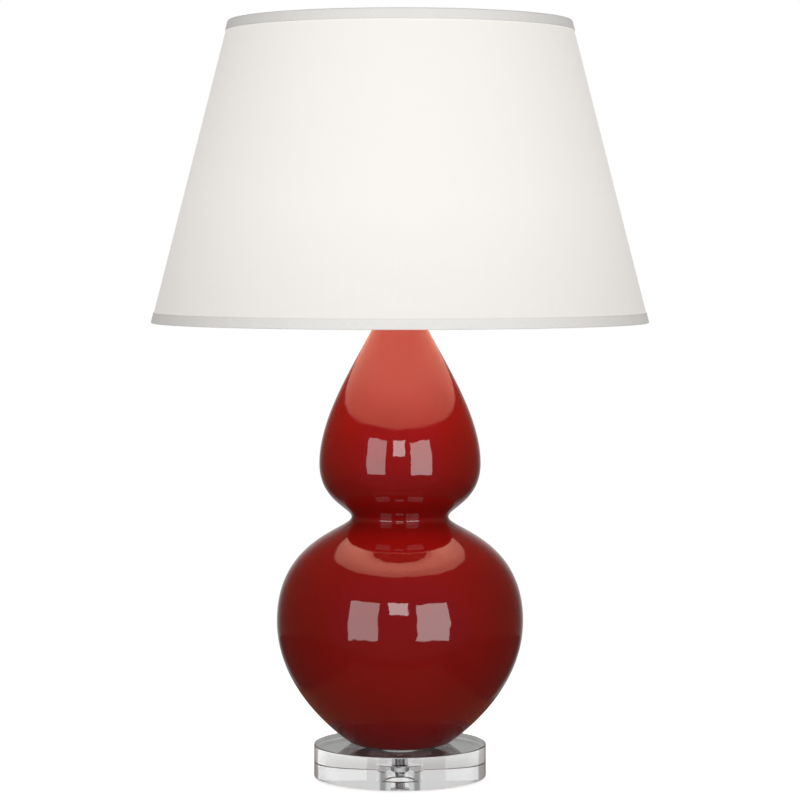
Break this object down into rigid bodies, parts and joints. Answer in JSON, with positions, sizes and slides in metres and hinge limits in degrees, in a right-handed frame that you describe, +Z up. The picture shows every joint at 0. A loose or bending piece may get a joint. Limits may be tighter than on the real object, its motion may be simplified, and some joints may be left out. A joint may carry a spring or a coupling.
{
  "type": "double gourd table lamp",
  "caption": "Table lamp with a glazed red double gourd body on a clear round base and a tapered white fabric shade on a harp.",
  "frame": {"origin": "on the floor under the lamp's axis, at the bottom of the bumpers", "axes": "+Z up along the lamp's axis, -Y the front, where the switch knob points; the cord inlet is at the back, +Y"},
  "size_m": [0.4825, 0.4826, 0.7357],
  "materials": {
    "clear_rubber": "satin",
    "clear_acrylic": "gloss",
    "zinc_steel": "satin",
    "red_glaze": "gloss",
    "black_plastic": "satin",
    "nickel": "satin",
    "brass": "satin",
    "paper": "matte",
    "phenolic": "satin",
    "white_lining": "satin",
    "white_linen": "matte",
    "white_trim": "matte",
    "frosted_glass": "satin",
    "clear_glass": "gloss",
    "bulb_metal": "satin",
    "black_glass": "gloss",
    "tungsten": "satin",
    "ring_wire": "satin"
  },
  "bodies": {
    "root": {"base_bumpers": "clear_rubber", "acrylic_base": "clear_acrylic", "base_washer": "zinc_steel", "base_nut": "zinc_steel", "threaded_rod": "zinc_steel", "foot_gasket": "clear_rubber", "gourd_body": "red_glaze", "cord_bushing": "black_plastic", "vase_cap": "nickel", "neck_spacer": "nickel", "harp_saddle": "nickel", "socket_cap": "nickel", "socket_set_screw": "zinc_steel", "socket_shell": "nickel", "socket_liner": "paper", "socket_core": "phenolic", "terminal_screws": "brass", "socket_screw_shell": "brass", "center_contact": "brass", "harp_wire_left": "nickel", "harp_wire_right": "nickel", "harp_crown": "nickel"},
    "switch": {"switch_shaft": "brass", "switch_knob": "black_plastic"},
    "sleeve_left": {"harp_sleeve_left": "nickel"},
    "sleeve_right": {"harp_sleeve_right": "nickel"},
    "stud": {"shade_stud": "nickel"},
    "shade": {"spider_hub": "nickel", "spider_arms": "nickel", "shade_top_ring": "ring_wire", "shade_bottom_ring": "ring_wire", "shade_lining": "white_lining", "shade_fabric": "white_linen", "shade_trim_top": "white_trim", "shade_trim_bottom": "white_trim"},
    "finial_thread": {"finial_insert": "brass"},
    "finial": {"finial": "nickel"},
    "bulb_contact": {"bulb_tip": "bulb_metal"},
    "bulb": {"bulb_insulator": "black_glass", "bulb_cap": "bulb_metal", "bulb_glass": "frosted_glass", "bulb_stem": "clear_glass", "bulb_filament": "tungsten"}
  },
  "joints": [
    {"name": "switch_turn", "type": "hinge", "parent": "root", "child": "switch", "pos_m": [0, -0.02, 0.52115], "axis": [0, -1, 0], "continuous": true},
    {"name": "sleeve_left_slide", "type": "slide", "parent": "root", "child": "sleeve_left", "axis": [0, 0, 1], "range_m": [0, 0.012]},
    {"name": "sleeve_right_slide", "type": "slide", "parent": "root", "child": "sleeve_right", "axis": [0, 0, 1], "range_m": [0, 0.012]},
    {"name": "shade_swivel", "type": "hinge", "parent": "root", "child": "stud", "pos_m": [0, 0, 0.705], "axis": [0, 0, 1], "continuous": true},
    {"name": "shade_lift", "type": "slide", "parent": "stud", "child": "shade", "axis": [0, 0, 1], "range_m": [0, 0.3]},
    {"name": "finial_rise", "type": "slide", "parent": "shade", "child": "finial_thread", "axis": [0, 0, 1], "range_m": [0, 0.0095]},
    {"name": "finial_turn", "type": "hinge", "parent": "finial_thread", "child": "finial", "pos_m": [0, 0, 0.72], "axis": [0, 0, 1], "range_deg": [0, 3600]},
    {"name": "bulb_rise", "type": "slide", "parent": "root", "child": "bulb_contact", "axis": [0, 0, 1], "range_m": [0, 0.0109]},
    {"name": "bulb_turn", "type": "hinge", "parent": "bulb_contact", "child": "bulb", "pos_m": [0, 0, 0.54], "axis": [0, 0, 1], "range_deg": [0, 1080]}
  ],
  "couplings": [
    {"joint": "finial_rise", "follows": "finial_turn", "m_per_rad": 0.00014972},
    {"joint": "bulb_rise", "follows": "bulb_turn", "m_per_rad": 0.0005775}
  ]
}
